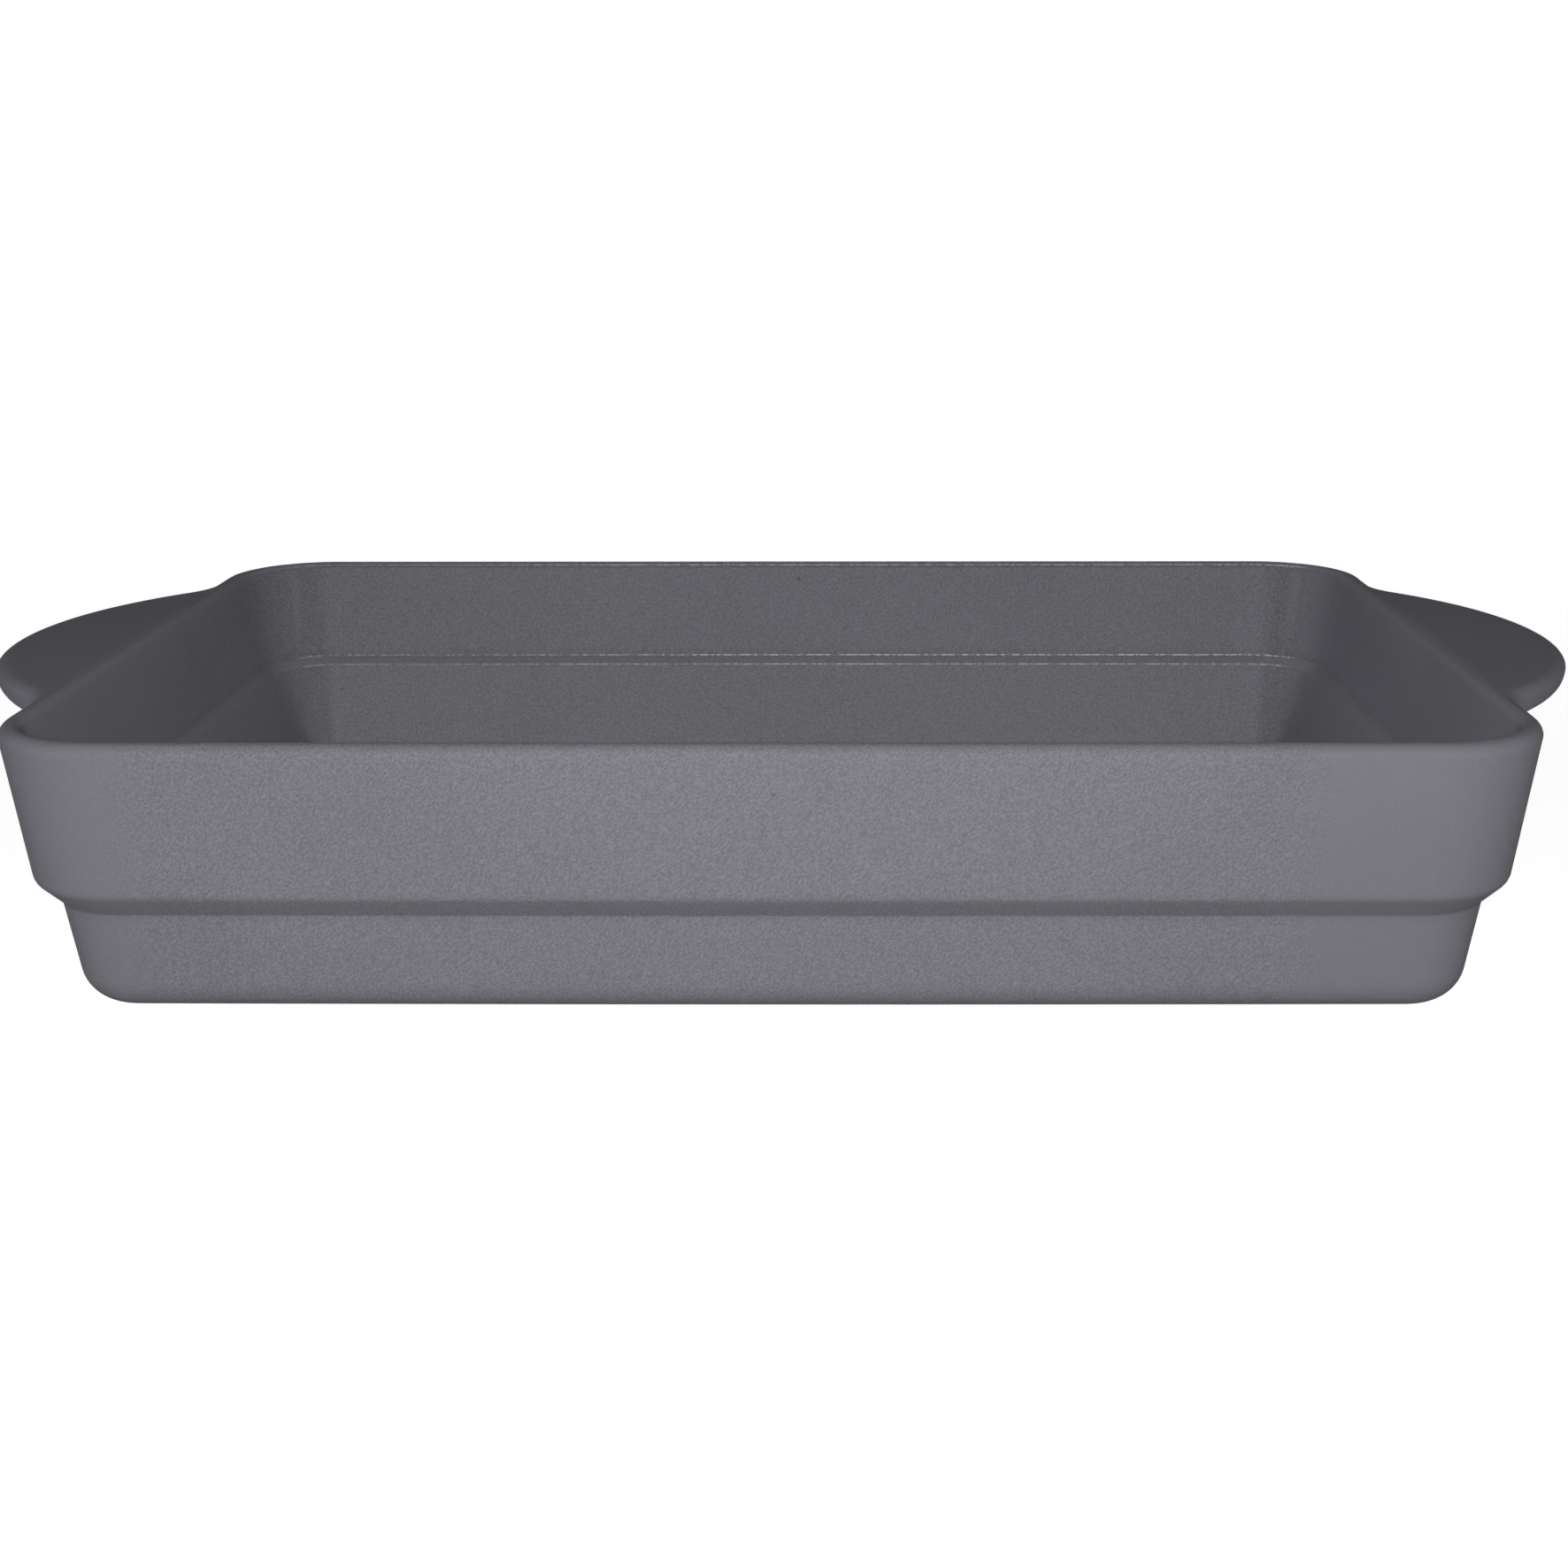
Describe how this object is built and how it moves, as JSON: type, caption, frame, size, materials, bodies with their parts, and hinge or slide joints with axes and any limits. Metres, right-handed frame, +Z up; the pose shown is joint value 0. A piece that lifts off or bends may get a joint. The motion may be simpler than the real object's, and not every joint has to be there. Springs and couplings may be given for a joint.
{
  "type": "rectangular baking dish",
  "caption": "Rectangular stoneware baking dish, deep stepped wall with an inner ledge, rounded rim and a rounded lug handle on each short end.",
  "frame": {"origin": "centre of the dish in plan, on the plane its foot stands on", "axes": "+X along the length through the two handles, +Y across the width, +Z up out of the open top"},
  "size_m": [0.3988, 0.2312, 0.0646],
  "materials": {
    "matt_glaze": "matt grey stoneware glaze with a fine orange-peel grain, thinner and paler on the edges"
  },
  "bodies": {
    "root": {"dish_tray": "matt_glaze", "left_handle": "matt_glaze", "right_handle": "matt_glaze"}
  },
  "joints": []
}
